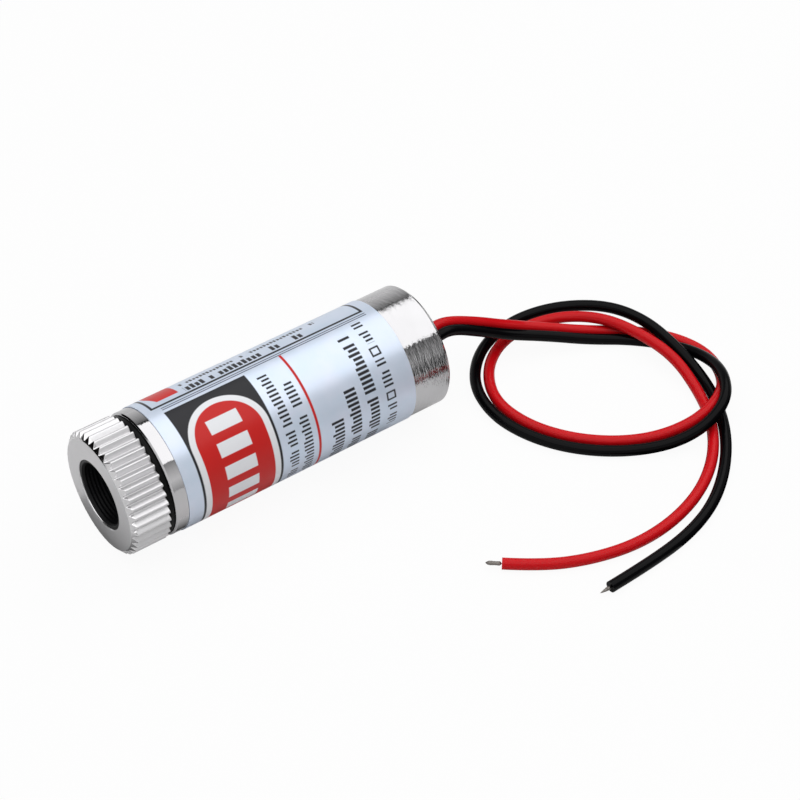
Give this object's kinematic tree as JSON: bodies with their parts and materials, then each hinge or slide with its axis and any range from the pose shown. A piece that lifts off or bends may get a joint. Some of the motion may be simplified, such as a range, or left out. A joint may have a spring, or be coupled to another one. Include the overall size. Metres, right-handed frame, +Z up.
{
  "type": "laser pointer",
  "caption": "Small round laser module with a nickel-plated barrel, a knurled focus ring that screws out at the front, a wrapped label, and red and black leads from the rear.",
  "frame": {"origin": "on the surface it lies on, under the middle of the module without its leads", "axes": "+X along the module's axis, the way the beam leaves; +Z up; the leads leave towards -X"},
  "size_m": [0.0607, 0.0377, 0.0122],
  "materials": {
    "nickel": "bright nickel plating over turned brass",
    "label": "glossy printed film, pale blue-silver",
    "black_plastic": "satin moulded",
    "grommet_rubber": "soft matt",
    "seal_rubber": "glossy moulded",
    "brass": "turned, bare",
    "gilt": "gilt plating",
    "window_glass": "clear",
    "lens_glass": "clear, moulded",
    "chip_metal": "cleaved",
    "board": "green solder mask",
    "tin": "tinned",
    "tan_ceramic": "fired ceramic",
    "black_metal": "black anodised",
    "spring_steel": "drawn wire",
    "red_insulation": "soft vinyl, low gloss",
    "black_insulation": "soft vinyl, low gloss"
  },
  "bodies": {
    "module": {"barrel": "nickel", "label": "label", "rear_plug": "black_plastic", "wire_grommet": "grommet_rubber", "diode_holder": "brass", "diode_base": "gilt", "diode_cap": "gilt", "diode_window": "window_glass", "diode_post": "gilt", "diode_chip": "chip_metal", "diode_pins": "gilt", "driver_board": "board", "driver_chip": "black_plastic", "driver_chip_legs": "tin", "chip_resistors": "black_plastic", "chip_capacitor": "tan_ceramic", "solder_joints": "tin", "red_inner_lead": "red_insulation", "black_inner_lead": "black_insulation", "lead_cores": "tin", "red_wire": "red_insulation", "black_wire": "black_insulation", "red_wire_tip": "tin", "black_wire_tip": "tin"},
    "spring_carriage": {"focus_spring": "spring_steel"},
    "focus_head": {"focus_ring": "nickel", "neck_seal": "seal_rubber", "lens_cell": "black_metal", "lens": "lens_glass", "lens_retainer": "black_metal"}
  },
  "joints": [
    {"name": "focus_travel", "type": "slide", "parent": "module", "child": "spring_carriage", "axis": [1, 0, 0], "range_m": [0, 0.002], "deforming": ["focus_spring"]},
    {"name": "focus_turn", "type": "hinge", "parent": "spring_carriage", "child": "focus_head", "pos_m": [0.015, 0, 0.00608], "axis": [1, 0, 0], "range_deg": [0, 1440]}
  ],
  "couplings": [
    {"joint": "focus_travel", "follows": "focus_turn", "m_per_rad": 0.000079577}
  ]
}
